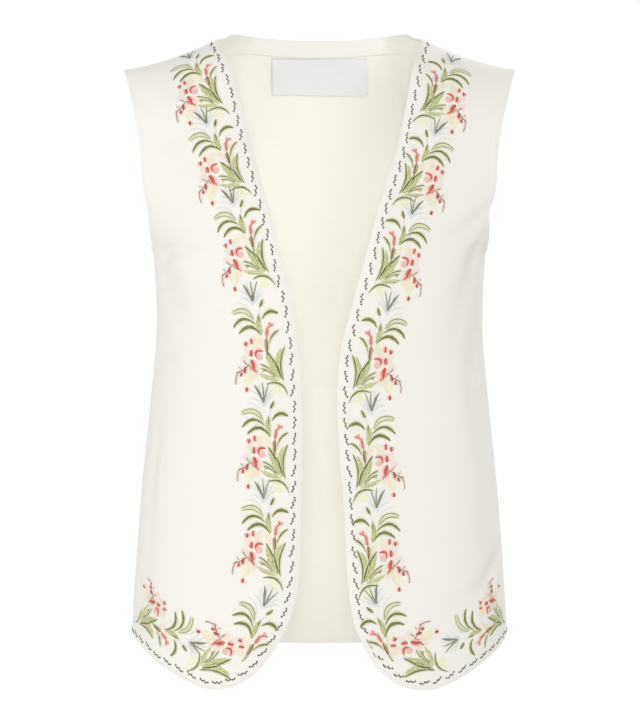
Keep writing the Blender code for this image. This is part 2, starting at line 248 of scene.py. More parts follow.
# Leaf fan with its flowers, and the sprig above it, in millimetres out from the front edge and up along it:
# thread, shape, from out, from up, to out, to up, bow, width, layer
FAN = (
    ("blush", "petal", 23.5, 20.5, 29.5, 32.0, 1.0, 9.0, 0),
    ("peach", "petal", 22.0, 40.0, 28.0, 30.0, 0.6, 6.5, 0),
    ("blush", "petal", 31.0, 24.0, 38.5, 30.5, 0.4, 6.5, 0),
    ("blush", "petal", 33.0, 16.0, 40.5, 23.0, -0.6, 7.0, 0),
    ("blush", "petal", 31.0, 13.0, 22.0, 12.5, 0.6, 8.0, 0),
    ("peach", "petal", 32.5, 10.0, 26.0, 1.0, -0.8, 6.5, 0),
    ("blush", "petal", 40.0, 12.0, 46.5, 1.0, 0.8, 5.0, 0),
    ("butter", "petal", 34.8, 7.0, 34.2, -5.0, 0.6, 4.6, 1),
    ("peach", "petal", 31.3, 6.5, 32.0, -3.0, 0.3, 3.6, 1),
    ("pink", "petal", 24.8, 24.6, 21.0, 19.2, 0.3, 5.5, 1),
    ("pink", "petal", 30.5, 15.6, 26.0, 10.6, 0.5, 5.8, 1),
    ("red", "bud", 30.6, 33.4, 31.2, 39.4, 0.2, 2.7, 2),
    ("coral", "bud", 29.4, 33.6, 29.8, 38.0, 0.0, 2.0, 1),
    ("dark_red", "bud", 36.4, 31.6, 35.8, 36.4, 0.2, 2.5, 2),
    ("coral", "bud", 37.6, 32.2, 37.7, 36.2, 0.0, 2.0, 1),
    ("red", "bud", 31.0, 21.8, 31.2, 28.8, 0.3, 3.2, 2),
    ("coral", "bud", 33.0, 22.4, 32.8, 27.4, 0.3, 1.9, 1),
    ("red", "leaf", 19.4, 27.2, 25.8, 20.4, 4.4, 2.6, 2),
    ("red", "leaf", 31.4, 19.6, 29.0, 8.0, -1.2, 4.5, 2),
    ("coral", "leaf", 30.6, 11.5, 25.6, 6.2, -0.8, 3.2, 2),
    ("coral", "leaf", 33.2, 15.0, 31.0, 9.4, -0.4, 2.2, 2),
    ("dark_red", "bud", 36.2, 13.2, 37.6, 6.2, 0.3, 3.1, 2),
    ("coral", "bud", 38.6, 11.6, 39.4, 7.4, 0.2, 1.8, 1),
    ("dark_red", "bud", 40.2, 7.6, 41.2, 3.2, 0.2, 2.7, 2),
    ("coral", "bud", 44.4, 6.6, 46.4, 4.2, 0.2, 2.0, 1),
    ("twig", "stem", 32.8, 15.2, 46.8, 6.4, -1.4, 1.6, 3),
    ("twig", "stem", 38.4, 18.8, 34.8, 14.6, 0.3, 1.2, 3),
    ("twig", "stem", 43.2, 8.6, 45.8, -4.6, 1.6, 1.1, 3),
    ("twig", "stem", 41.0, 10.2, 43.6, 13.0, -0.3, 0.7, 3),
    ("peach", "stem", 34.6, -4.0, 35.2, -7.0, 0.1, 0.8, 1),
    ("dark_red", "bud", 35.3, -11.0, 35.3, -6.2, 0.0, 2.8, 2),
    ("light_leaf", "leaf", 1.4, 1.0, 2.8, 30.5, -3.4, 6.0, 1),
    ("olive", "stem", 0.0, -1.0, -1.0, 32.5, -3.4, 2.2, 2),
    ("leaf", "stem", 2.4, 3.0, 3.8, 25.0, -3.2, 0.7, 2),
    ("light_leaf", "leaf", 3.2, 1.2, 17.2, 27.0, -0.8, 5.6, 1),
    ("dark_olive", "stem", 2.2, 2.0, 18.2, 29.4, 1.6, 2.1, 2),
    ("leaf", "stem", 4.8, 3.0, 15.0, 23.0, -1.2, 0.8, 2),
    ("dark_olive", "leaf", 2.6, 2.2, 9.6, 20.4, 0.4, 2.6, 3),
    ("leaf", "leaf", 4.4, 4.4, 12.2, 19.0, 0.3, 1.6, 2),
    ("olive", "stem", 7.6, 3.6, 22.8, 15.4, 1.8, 1.5, 2),
    ("olive", "stem", 8.2, 2.6, 21.8, 11.2, 1.6, 1.4, 2),
    ("olive", "stem", 15.5, 9.4, 20.4, 8.2, 0.4, 0.9, 2),
    ("yellow_green", "leaf", 4.6, 0.6, 24.4, 6.8, -1.0, 4.0, 1),
    ("leaf", "stem", 7.0, 0.6, 20.0, 3.6, -0.8, 0.9, 2),
    ("pale_leaf", "leaf", 13.5, -3.4, -0.4, -8.8, -3.6, 2.6, 1),
    ("olive", "leaf", 17.0, -3.6, -3.8, -14.0, -6.2, 2.3, 2),
    ("butter", "petal", 1.6, -11.8, 11.5, -9.0, 0.4, 4.2, 0),
    ("butter", "petal", 3.4, -7.6, 9.2, -5.4, 0.2, 2.8, 0),
)
SPRIG = (
    ("peach", "petal", -1.0, -9.5, 3.6, -1.0, 0.2, 4.0, 0),
    ("butter", "petal", 1.6, -3.8, 10.0, -0.4, 0.3, 3.4, 0),
    ("olive", "stem", -4.6, -23.0, -5.2, -14.0, 0.6, 1.3, 2),
    ("rust", "bud", -5.6, -15.6, -4.4, -1.8, 0.5, 2.8, 2),
    ("olive", "stem", -4.8, -15.0, -3.2, -3.6, -0.2, 1.2, 3),
    ("pink", "bud", -3.8, 0.4, -4.6, 8.4, 0.3, 2.9, 1),
    ("coral", "bud", -4.8, -2.4, -5.2, 7.8, 0.3, 4.0, 2),
    ("coral", "bud", -5.6, 5.8, -9.6, 10.2, -0.4, 2.8, 2),
    ("red", "bud", -7.0, 8.4, -7.6, 12.6, 0.2, 1.4, 2),
    ("red", "bud", -9.0, 8.2, -11.0, 11.2, 0.0, 1.3, 2),
    ("olive", "stem", -6.4, -14.8, -8.4, -4.6, -0.8, 1.1, 2),
    ("olive", "arch", -7.8, -6.6, -16.8, 5.2, -1.8, 2.3, 2),
    ("light_leaf", "leaf", 0.2, -0.6, 3.4, 19.0, -0.8, 5.2, 1),
    ("olive", "stem", -0.4, 0.4, 2.0, 14.0, -0.8, 1.1, 2),
    ("leaf", "stem", 1.8, 1.0, 4.4, 15.0, -0.8, 0.8, 2),
    ("olive", "leaf", 1.6, 11.8, 3.2, 19.8, 0.0, 1.8, 2),
    ("olive", "arch", 0.2, 0.0, 22.2, 0.6, 7.4, 3.8, 2),
    ("olive", "arch", 5.4, 9.8, 27.8, 6.2, 7.0, 3.3, 2),
    ("pale_leaf", "arch", 7.6, 13.6, 29.4, 19.8, 6.0, 3.6, 0),
    ("olive", "stem", 7.0, 13.6, 30.2, 20.4, 7.6, 1.0, 1),
    ("olive", "stem", 8.6, 14.4, 28.8, 18.6, 4.4, 0.9, 1),
    ("pale_blue", "stem", 9.0, 18.0, 26.0, 30.0, 4.6, 0.8, 1),
    ("olive", "arch", -0.8, 15.0, -16.0, 20.2, -4.6, 3.8, 2),
    ("pale_blue", "stem", 2.6, 18.6, 1.8, 27.0, 0.5, 1.2, 1),
    ("olive", "leaf", 1.8, 26.0, -1.2, 34.0, 0.3, 3.0, 2),
    ("slate", "leaf", 8.4, 30.6, 18.8, 47.8, 1.0, 2.5, 2),
    ("slate", "leaf", 8.2, 31.0, 11.2, 50.8, 0.5, 1.2, 2),
    ("slate", "leaf", 7.6, 31.0, 4.2, 51.0, -0.8, 1.1, 2),
    ("pale_blue", "leaf", 7.2, 30.0, 0.4, 46.0, -0.6, 1.7, 1),
    ("pale_blue", "leaf", 6.8, 29.4, -2.6, 41.5, -0.8, 1.5, 1),
    ("pale_blue", "leaf", 8.8, 31.0, 15.4, 50.0, 0.4, 1.4, 1),
    ("lilac", "petal", 8.0, 36.0, 8.6, 27.2, 0.2, 3.2, 1),
    ("pale_blue", "leaf", 8.6, 30.0, 21.4, 41.6, 2.2, 2.0, 1),
    ("pale_blue", "leaf", 9.2, 29.0, 22.0, 35.0, 2.0, 1.8, 1),
)

# Place of each half repeat: half, wearer's side, x, z, turn in degrees anticlockwise from the front
BORDER = (
    (FAN, "right", -0.0918, -0.0510, 16.0),
    (FAN, "right", -0.0701, -0.1281, 16.0),
    (FAN, "right", -0.0474, -0.2122, 11.5),
    (FAN, "right", -0.0331, -0.3134, 0.0),
    (FAN, "right", -0.0315, -0.4049, -2.0),
    (FAN, "right", -0.0361, -0.4959, -7.0),
    (FAN, "right", -0.1123, -0.5848, -102.0),
    (FAN, "right", -0.1718, -0.5463, -133.0),
    (SPRIG, "right", -0.1125, -0.0230, 13.8),
    (SPRIG, "right", -0.0926, -0.0969, 12.2),
    (SPRIG, "right", -0.0690, -0.1762, 8.0),
    (SPRIG, "right", -0.0541, -0.2712, 0.0),
    (SPRIG, "right", -0.0460, -0.3660, -4.0),
    (SPRIG, "right", -0.0459, -0.4559, -4.0),
    (SPRIG, "right", -0.0633, -0.5541, -34.6),
    (SPRIG, "right", -0.1458, -0.5487, -132.0),
    (FAN, "left", 0.0953, -0.0584, -17.0),
    (FAN, "left", 0.0746, -0.1381, -13.5),
    (FAN, "left", 0.0523, -0.2202, -13.5),
    (FAN, "left", 0.0310, -0.3211, 0.0),
    (FAN, "left", 0.0341, -0.4140, 4.0),
    (FAN, "left", 0.0389, -0.5033, 6.0),
    (FAN, "left", 0.1080, -0.5848, 100.0),
    (FAN, "left", 0.1744, -0.5467, 133.0),
    (SPRIG, "left", 0.1159, -0.0296, -9.2),
    (SPRIG, "left", 0.0965, -0.1075, -9.7),
    (SPRIG, "left", 0.0743, -0.1869, -8.2),
    (SPRIG, "left", 0.0529, -0.2793, -4.5),
    (SPRIG, "left", 0.0454, -0.3744, 9.2),
    (SPRIG, "left", 0.0494, -0.4646, 8.0),
    (SPRIG, "left", 0.0615, -0.5531, 29.8),
    (SPRIG, "left", 0.1536, -0.5495, 127.0),
)

# Stitches: distance of rows and ribs, height of a layer, gap to the cloth, and reach allowed past its edge
STITCH_ROW = 0.0013
STITCH_RIB = 0.0005
LAYER_HEIGHT = 0.0002
STITCH_GAP = 0.00003
OFF_CLOTH = 0.0012
RANDOM_SEEDS = {"right": 7, "left": 11}

# Paler stitches under the coloured ones, and how much wider they are in millimetres
UNDER_THREADS = {
    "olive": "pale_leaf",
    "dark_olive": "pale_leaf",
    "leaf": "pale_leaf",
    "red": "pink",
    "dark_red": "pink",
    "coral": "blush",
    "rust": "peach",
    "twig": "blush",
}
UNDER_MARGIN = 2.2

# Line of seed stitches beside the edge, in slanting groups: places in metres, stitches in millimetres
SEEDS_FROM = 0.010
SEEDS_LAST_GROUP = 0.004
SEEDS_END = 0.002
SEED_GROUP = 0.0150
SEED_PITCH = 0.00230
SEEDS_IN_GROUP = 5
SEED_IN_FIRST = 0.0062
SEED_IN_LAST = 0.0088
SEED_SLANT = (0.3, 1.3)
SEED_WEAVE = 0.5
SEED_WEAVE_SPREAD = 0.3
SEED_LENGTH = 1.9
SEED_WIDTH = 1.80
SEED_LINK_WIDTH = 0.65
SEED_LEAN = 38.0
SEED_LEAN_SPREAD = 24
SEED_EDGE_SPAN = 0.006

# Surfaces: scale of a wave texture with bands a metre apart, depth of the bumps, and shine
WAVE_SCALE = 0.314
WEAVE_BUMP = 0.0002
STITCH_BUMP = 0.0003
SHEEN_ROUGHNESS = 0.45
SPECULAR = 0.25

# Cloth, label and floor colours as linear red, green, blue
IVORY = (0.885, 0.868, 0.812)
SATIN = (0.80, 0.80, 0.82)
PAPER = (0.86, 0.86, 0.85)

# View
VIEW_DISTANCE = 3.0
VIEW_MIDDLE_Z = -0.2957
METRES_PER_PIXEL = 0.00097
PHOTO_HEIGHT = 723
SENSOR_HEIGHT = 36.0
FLOOR_Z = -1.36
FLOOR_RADIUS = 2.4

# Light: strength of the surroundings, and the lamps' name, place, aim, size and power
SKY = 0.46
LIGHTS = (
    ("front", (0.0, -3.4, -0.2), (0.0, 0.0, -0.3), 0.5, 19.5),
    ("key", (-1.9, -2.1, 1.2), (0.0, 0.0, -0.3), 1.1, 3.5),
    ("fill", (1.3, -2.7, 0.9), (0.0, 0.0, -0.3), 1.6, 29.5),
    ("top", (0.0, -1.6, 1.9), (0.0, 0.0, -0.1), 1.0, 1.0),
    ("right_side", (-2.6, -0.6, 0.1), (0.0, 0.0, -0.3), 1.4, 22.0),
    ("left_side", (2.5, -0.9, 0.6), (0.0, 0.0, -0.3), 1.4, 2.0),
    ("back_key", (1.5, 2.3, 1.9), (0.0, 0.0, -0.3), 0.6, 46.0),
    ("back_fill", (-1.8, 2.6, 0.0), (0.0, 0.0, -0.3), 1.4, 7.0),
    ("inside_low", (0.01, -0.085, -0.51), (0.01, 1.0, -0.49), 0.16, 0.062),
    ("inside_middle", (0.01, -0.085, -0.33), (0.01, 1.0, -0.33), 0.16, 0.070),
    ("inside_high", (0.04, -0.085, -0.18), (0.07, 1.0, -0.17), 0.14, 0.058),
)


def column(table, number):
    return np.array([row[number] for row in table])


def smooth(known, values, at):
    """Soft curve through the values, each slope taken from its neighbours."""
    slopes = np.gradient(values, known)
    index = np.clip(np.searchsorted(known, at) - 1, 0, len(known) - 2)
    width = known[index + 1] - known[index]
    part = np.clip((at - known[index]) / width, 0, 1)
    start = (1 + 2 * part) * (1 - part) ** 2 * values[index]
    start = start + part * (1 - part) ** 2 * width * slopes[index]
    end = part * part * (3 - 2 * part) * values[index + 1]
    end = end + part * part * (part - 1) * width * slopes[index + 1]
    return start + end


def plan_x(angle, z):
    """Distance from the centre of a place at an angle round the body."""
    sine = np.sin(angle)
    half_width = smooth(column(SECTIONS, 0), column(SECTIONS, 1), z)
    cap = smooth(column(SECTIONS, 0), column(SECTIONS, 2), z)
    return half_width * sine * (1 + SQUARENESS * np.cos(angle) ** 2) + cap * sine ** CAP_POWER


def plan_y(angle, z, of_back):
    """Distance in front of or behind the side seam of a place at an angle round the body."""
    depth = smooth(column(SECTIONS, 0), column(SECTIONS, 4 if of_back else 3), z)
    return depth * np.cos(angle) * (1 + SQUARENESS * np.sin(angle) ** 2)


def shoulder_z(x):
    """Height of the shoulder line, hollowed outside the neck point and steeper inside it."""
    out = np.abs(x) - NECK_POINT_X
    bend = np.where(out > 0, SHOULDER_HOLLOW, NECK_RISE)
    return NECK_POINT_Z - SHOULDER_SLOPE * out + bend * out ** 2


def angle_at(x, z):
    """Angle round the body of a place x from the centre, 0 at the centre and 90 degrees at the side."""
    low = np.zeros_like(x + z)
    high = low + np.pi / 2
    for _ in range(40):
        middle = (low + high) / 2
        short = plan_x(middle, z) < x
        low = np.where(short, middle, low)
        high = np.where(short, high, middle)
    return (low + high) / 2


def fold_depth(folds, side, angle, z):
    """How far the folds of one side draw the cloth in."""
    total = np.zeros_like(z + angle)
    for name, angle_1, z_1, angle_2, z_2, wide, deep in folds:
        if name != side:
            continue
        along = np.array([np.radians(angle_2 - angle_1) * GIRTH_RADIUS, z_2 - z_1])
        across = (angle - np.radians(angle_1)) * GIRTH_RADIUS
        part = (across * along[0] + (z - z_1) * along[1]) / (along @ along)
        held = np.clip(part, 0, 1)
        length = np.hypot(along[0], along[1])
        aside = (across * along[1] - (z - z_1) * along[0]) / length
        beyond = (part - held) * length
        away = np.hypot(aside, FOLD_END * beyond)
        fade = 1 - FOLD_FADE * held
        total = total + deep * fade * np.exp(-(away / wide) ** 2)
    return total


def hang(angle, z, side, of_back):
    """Slow unevenness of the hanging cloth, under a millimetre deep."""
    turn = {"right": 0.4, "left": 1.9}.get(side, 0.0) + (2.6 if of_back else 0.0)
    slow = np.sin(angle * 5.1 + z * 14.0 + turn) * np.sin(z * 23.0 + angle * 1.7 + 2.2 * turn)
    fine = np.sin(angle * 13.0 - z * 31.0 + 1.3 * turn) * np.sin(z * 47.0 - turn)
    return HANG_SLOW * slow + HANG_FINE * fine


def body_point(angle, z, of_back, side):
    """Point of the cloth's outer face at an angle and a height, on the +X side."""
    x = plan_x(angle, z)
    below = np.clip((shoulder_z(x) - z) / ROUND_OVER, 0, 1)
    rolled = np.sqrt(1 - (1 - below) ** 2)
    y = plan_y(angle, z, of_back) * rolled + SEAM_GAP / 2
    from_seam = np.pi / 2 - angle
    uneven = hang(angle, z, side, of_back) * np.clip(from_seam / HANG_CALM_ANGLE, 0, 1)
    folds = fold_depth(BACK_FOLDS if of_back else FRONT_FOLDS, side, angle, z)
    folds = folds * np.clip(from_seam / FOLD_CALM_ANGLE, 0, 1) ** 2
    drawn_in = (folds + uneven) * rolled
    x = x - drawn_in * np.sin(angle)
    y = y - drawn_in * np.cos(angle)
    return np.stack([x, y if of_back else -y, z + 0 * x], axis=-1)


def row_shares():
    """Share of the height of each row, closer together where the cloth rolls over the shoulder."""
    tip_z = shoulder_seam(np.array([1.0]))[1][0]
    at_underarm = (UNDERARM_Z - SIDE_HEM_Z) / (tip_z - SIDE_HEM_Z)
    even = np.linspace(0, 1, ROWS_BELOW_UNDERARM, endpoint=False)
    low = at_underarm * (even - ROW_CROWDING * np.sin(2 * np.pi * even))
    reach = 1 - ROUND_SHARE - at_underarm
    beside = np.linspace(0, 1, ROWS_BESIDE_ARMHOLE, endpoint=False) ** ARMHOLE_ROW_POWER
    middle = at_underarm + reach * beside
    turn = np.radians(np.linspace(90, 0, ROWS_OVER_SHOULDER))
    return np.concatenate([low, middle, 1 - ROUND_SHARE * (1 - np.cos(turn))])


def outer_edge(shares, of_back):
    """Angle of the side seam and of the armhole at each row."""
    tip_z = shoulder_seam(np.array([1.0]))[1][0]
    z = SIDE_HEM_Z + (tip_z - SIDE_HEM_Z) * shares
    on_armhole = np.clip(z, UNDERARM_Z, None)
    degrees = smooth(column(ARMHOLE, 0), column(ARMHOLE, 2 if of_back else 1), on_armhole)
    degrees[-1] = ARMHOLE[-1][1]
    return np.radians(np.clip(degrees, 0, 90))


def patch(inner, outer, low_angle, low_z, top_angle, top_z, shares, across):
    """Angles and heights of a grid that fills in between four edges."""
    row = shares[:, None]
    side = across[None, :]
    z = (1 - row) * low_z[None, :] + row * top_z[None, :]
    angle = (1 - row) * low_angle[None, :] + row * top_angle[None, :]
    straight_in = (1 - row) * low_angle[0] + row * top_angle[0]
    straight_out = (1 - row) * low_angle[-1] + row * top_angle[-1]
    angle = angle + (1 - side) * (inner[:, None] - straight_in)
    angle = angle + side ** ARMHOLE_POWER * (outer[:, None] - straight_out)
    return angle, z


def shoulder_seam(shares):
    """Angles and heights along the shoulder seam from the neck point to the tip."""
    start = angle_at(np.array(NECK_POINT_X), np.array(NECK_POINT_Z))
    angle = start + (np.radians(ARMHOLE[-1][1]) - start) * shares
    z = np.full_like(angle, NECK_POINT_Z)
    for _ in range(30):
        z = shoulder_z(plan_x(angle, z))
    return angle, z


def front_grid(side):
    """Points of one front, rows from the hem to the shoulder, columns from the edge to the side."""
    number = 1 if side == "right" else 2
    shares = row_shares()
    across = np.linspace(0, 1, COLUMNS_OF_FRONT)
    edge_z, edge_x = column(FRONT_EDGE, 0), column(FRONT_EDGE, number)
    z = edge_z[0] + (edge_z[-1] - edge_z[0]) * shares
    inner = angle_at(smooth(edge_z, edge_x, z), z)
    hem_x, hem_z = column(FRONT_HEM, 0), column(FRONT_HEM, number)
    hem_angles = angle_at(hem_x, hem_z)
    hem_angles[0] = inner[0]
    hem_angles[-1] = np.pi / 2
    low_angle = hem_angles[0] + (hem_angles[-1] - hem_angles[0]) * across
    low_z = smooth(hem_angles, hem_z, low_angle)
    top_angle, top_z = shoulder_seam(across)
    angle, z = patch(inner, outer_edge(shares, False), low_angle, low_z, top_angle, top_z, shares, across)
    return body_point(angle, z, False, side)


def back_grid(side):
    """Points of half the back, rows from the hem to the neck and shoulder, columns from the centre."""
    shares = row_shares()
    over_shoulder = np.linspace(0, 1, COLUMNS_OF_FRONT)
    over_neck = np.sin(np.linspace(0, np.pi / 2, COLUMNS_OF_NECK, endpoint=False))
    split = COLUMNS_OF_NECK / (COLUMNS_OF_NECK + COLUMNS_OF_FRONT)
    under_neck = np.linspace(0, split, COLUMNS_OF_NECK, endpoint=False)
    across = np.concatenate([under_neck, split + (1 - split) * over_shoulder])
    neck_x = NECK_POINT_X * over_neck
    neck_z = smooth(column(BACK_NECK, 0), column(BACK_NECK, 1), neck_x)
    seam_angle, seam_z = shoulder_seam(over_shoulder)
    top_angle = np.concatenate([angle_at(neck_x, neck_z), seam_angle])
    top_z = np.concatenate([neck_z, seam_z])
    low_angle = np.pi / 2 * across
    low_z = BACK_HEM_Z + (SIDE_HEM_Z - BACK_HEM_Z) * np.sin(low_angle) ** 2
    inner = np.zeros_like(shares)
    angle, z = patch(inner, outer_edge(shares, True), low_angle, low_z, top_angle, top_z, shares, across)
    return body_point(angle, z, True, side)


def mirrored(grid):
    return grid * np.array([-1.0, 1.0, 1.0])


def whole_back_grid():
    """Points of the whole back, columns from the wearer's right to the wearer's left."""
    right = mirrored(back_grid("right"))[:, ::-1]
    left = back_grid("left")
    middle = (right[:, -1:] + left[:, :1]) / 2
    return np.concatenate([right[:, :-1], middle, left[:, 1:]], axis=1)


def outward(grid):
    """Unit vectors square to a grid and away from the body."""
    along = np.gradient(grid, axis=1)
    up = np.gradient(grid, axis=0)
    square = np.cross(along, up)
    square /= np.linalg.norm(square, axis=2, keepdims=True) + 1e-12
    from_axis = grid * np.array([1.0, 1.0, 0.0]) + np.array([0.0, 0.0, 0.02])
    return square * np.sign(np.sum(square * from_axis))


def run_along(grid, axis):
    """Distance along a grid's rows or columns from their start."""
    steps = np.linalg.norm(np.diff(grid, axis=axis), axis=2)
    total = np.cumsum(steps, axis=axis)
    zero = np.zeros_like(np.take(total, [0], axis=axis))
    return np.concatenate([zero, total], axis=axis)


def soft_step(value):
    value = np.clip(value, 0, 1)
    return value * value * (3 - 2 * value)


def interpolated(line, run, at):
    """Points of a line at given distances along it."""
    return np.stack([np.interp(at, run, line[:, axis]) for axis in range(3)], axis=-1)


def distance_to(grid, edges):
    """Distance of each point of a grid from its free edges, each given as a line of points."""
    dense = []
    for line in edges:
        at = np.linspace(0, len(line) - 1, EDGE_SAMPLING * len(line))
        dense.append(interpolated(line, np.arange(len(line)), at))
    dense = np.concatenate(dense)
    tree = KDTree(len(dense))
    for number, point in enumerate(dense):
        tree.insert(point, number)
    tree.balance()
    away = np.array([tree.find(point)[2] for point in grid.reshape(-1, 3)])
    return away.reshape(grid.shape[:2])


def with_soft_edges(grid, turned, rolled):
    """The grid with its turned edges a little thicker, and those that roll eased in."""
    thick = soft_step((TURNED_REACH - distance_to(grid, turned)) / TURNED_EASE) * TURNED_LIFT
    eased = np.clip(1 - distance_to(grid, rolled) / ROLL_REACH, 0, 1) ** 2 * ROLL_BACK
    return grid + outward(grid) * (thick - eased)[:, :, None]


def dressed_front(side):
    """One front with its hem, front edge and armhole turned."""
    grid = front_grid(side)
    armhole = grid[ROWS_BELOW_UNDERARM:, -1]
    free = [grid[:, 0], grid[0]]
    return with_soft_edges(grid, free + [armhole], free)


def dressed_back():
    """The back with its hem, neck and armholes turned."""
    grid = whole_back_grid()
    neck = grid[-1, COLUMNS_OF_FRONT:-COLUMNS_OF_FRONT]
    armholes = [grid[ROWS_BELOW_UNDERARM:, 0], grid[ROWS_BELOW_UNDERARM:, -1]]
    return with_soft_edges(grid, [grid[0], neck] + armholes, [grid[0]])


def material(name, roughness, sheen=0.0):
    """A new material and its shader."""
    made = bpy.data.materials.new(name)
    made.use_nodes = True
    shader = made.node_tree.nodes["Principled BSDF"]
    shader.inputs["Roughness"].default_value = roughness
    shader.inputs["Sheen Weight"].default_value = sheen
    shader.inputs["Sheen Roughness"].default_value = SHEEN_ROUGHNESS
    shader.inputs["Specular IOR Level"].default_value = SPECULAR
    return made, shader


def node(tree, kind, values=(), **settings):
    made = tree.nodes.new(kind)
    for key, value in settings.items():
        setattr(made, key, value)
    for key, value in values:
        made.inputs[key].default_value = value
    return made


def waves(tree, spacing, distortion, detail, direction):
    """Bands a given distance apart."""
    values = [("Scale", WAVE_SCALE / spacing), ("Distortion", distortion), ("Detail", detail)]
    return node(tree, "ShaderNodeTexWave", values, bands_direction=direction)


def woven(made, shader, colour, thread, strength, mottle):
    """Colour with a faint mottle and the bump of crossing threads, laid out by the UV map in metres."""
    tree = made.node_tree
    place = node(tree, "ShaderNodeUVMap")
    warp = waves(tree, thread, 0.6, 1.0, "X")
    weft = waves(tree, thread, 0.6, 1.0, "Y")
    cloudy = node(tree, "ShaderNodeTexNoise", [("Scale", 55.0), ("Detail", 4.0)])
    slub = node(tree, "ShaderNodeTexNoise", [("Scale", 900.0), ("Detail", 2.0)])
    both = node(tree, "ShaderNodeMath", operation="MULTIPLY")
    height = node(tree, "ShaderNodeMath", [(1, 0.35)], operation="MULTIPLY_ADD")
    bump = node(tree, "ShaderNodeBump", [("Strength", strength), ("Distance", WEAVE_BUMP)])
    blend = node(tree, "ShaderNodeMix", data_type="RGBA")
    darker = [value * (1 - mottle) for value in colour]
    blend.inputs[6].default_value = (*darker, 1.0)
    blend.inputs[7].default_value = (*colour, 1.0)
    links = tree.links
    for texture in (warp, weft, cloudy, slub):
        links.new(place.outputs["UV"], texture.inputs["Vector"])
    links.new(warp.outputs["Fac"], both.inputs[0])
    links.new(weft.outputs["Fac"], both.inputs[1])
    links.new(slub.outputs["Fac"], height.inputs[0])
    links.new(both.outputs[0], height.inputs[2])
    links.new(height.outputs[0], bump.inputs["Height"])
    links.new(cloudy.outputs["Fac"], blend.inputs[0])
    links.new(blend.outputs[2], shader.inputs["Base Color"])
    links.new(bump.outputs["Normal"], shader.inputs["Normal"])


def thread_material(name, colour):
    """Embroidery thread: rows of stitches along each shape, with fine ribs; its colour has a painted
    highlight on each row and painted shade in the gaps between rows, with a random mottle.
    """
    made, shader = material("thread_" + name, 0.5, 0.2)
    tree = made.node_tree
    place = node(tree, "ShaderNodeUVMap")
    rows = waves(tree, STITCH_ROW, 2.5, 2.0, "Y")
    ribs = waves(tree, STITCH_RIB, 2.0, 2.0, "DIAGONAL")
    speckle = node(tree, "ShaderNodeTexNoise", [("Scale", 800.0), ("Detail", 3.0)])
    height = node(tree, "ShaderNodeMath", [(1, 0.5)], operation="MULTIPLY_ADD")
    # Painted highlight on each stitch row and painted shade between rows, mixed with a random speckle
    # mottle
    shade = node(tree, "ShaderNodeMath", [(1, 0.45)], operation="MULTIPLY_ADD")
    spread = node(tree, "ShaderNodeMapRange", [("From Min", 0.40), ("From Max", 1.05)])
    bump = node(tree, "ShaderNodeBump", [("Strength", 0.6), ("Distance", STITCH_BUMP)])
    blend = node(tree, "ShaderNodeMix", data_type="RGBA")
    # Dark end: painted shade in the row gaps; pale end: painted highlight on the rows
    dark, pale = (0.90, 1.05) if name in PALE_THREADS else (0.45, 1.75)
    blend.inputs[6].default_value = (*[value * dark for value in colour], 1.0)
    blend.inputs[7].default_value = (*[min(0.95, value * pale) for value in colour], 1.0)
    links = tree.links
    for texture in (rows, ribs, speckle):
        links.new(place.outputs["UV"], texture.inputs["Vector"])
    links.new(ribs.outputs["Fac"], height.inputs[0])
    links.new(rows.outputs["Fac"], height.inputs[2])
    links.new(height.outputs[0], bump.inputs["Height"])
    links.new(rows.outputs["Fac"], shade.inputs[0])
    links.new(speckle.outputs["Fac"], shade.inputs[2])
    links.new(shade.outputs[0], spread.inputs["Value"])
    links.new(spread.outputs[0], blend.inputs[0])
    links.new(blend.outputs[2], shader.inputs["Base Color"])
    links.new(bump.outputs["Normal"], shader.inputs["Normal"])
    return made


def grid_faces(rows, columns, first=0):
    low = first + np.arange(rows - 1)[:, None] * columns + np.arange(columns - 1)[None, :]
    return np.stack([low, low + 1, low + columns + 1, low + columns], axis=-1).reshape(-1, 4)


def facing_out(grid, faces, out):
    """The faces, turned over if they look in."""
    flat = grid.reshape(-1, 3)
    corners = flat[faces[:, :3]]
    square = np.cross(corners[:, 1] - corners[:, 0], corners[:, 2] - corners[:, 0])
    wanted = out.reshape(-1, 3)[faces[:, 0]]
    return faces[:, ::-1] if np.sum(square * wanted) < 0 else faces


def new_mesh(name, points, faces, places, materials, numbers=None):
    """A smooth mesh object with a UV map in metres."""
    mesh = bpy.data.meshes.new(name)
    mesh.from_pydata(points.tolist(), [], faces.tolist())
    for made in materials:
        mesh.materials.append(made)
    mesh.polygons.foreach_set("use_smooth", [True] * len(faces))
    if numbers is not None:
        mesh.polygons.foreach_set("material_index", numbers.tolist())
    layer = mesh.uv_layers.new(name="UVMap")
    corners = np.empty(len(mesh.loops), dtype=np.int32)
    mesh.loops.foreach_get("vertex_index", corners)
    layer.data.foreach_set("uv", places[corners].astype(np.float32).ravel())
    made = bpy.data.objects.new(name, mesh)
    bpy.context.scene.collection.objects.link(made)
    return made


def sheet_piece(name, grid, wall, cloth, edge_round):
    """Thin cloth whose outer face is the grid, with rounded edges."""
    rows, columns = grid.shape[:2]
    faces = facing_out(grid, grid_faces(rows, columns), outward(grid))
    across = run_along(grid, 1)
    across = across - across[:, columns // 2:columns // 2 + 1]
    up = run_along(grid, 0)
    places = np.stack([across, up], axis=-1).reshape(-1, 2)
    piece = new_mesh(name, grid.reshape(-1, 3), faces, places, [cloth])
    thick = piece.modifiers.new("Wall", "SOLIDIFY")
    thick.thickness = wall
    thick.offset = -1.0
    rounded = piece.modifiers.new("Edge", "BEVEL")
    rounded.width = edge_round
    rounded.segments = 2
    rounded.limit_method = "ANGLE"
    rounded.angle_limit = np.radians(50)
    return piece


def unit(vector):
    return vector / np.linalg.norm(vector)


def edge_line(grid):
    """The free edge of a front from the neck point down and along the hem, and the distance along it."""
    edge = np.concatenate([grid[::-1, 0], grid[0, 1:]])
    run = np.concatenate([[0], np.cumsum(np.linalg.norm(np.diff(edge, axis=0), axis=1))])
    return edge, run


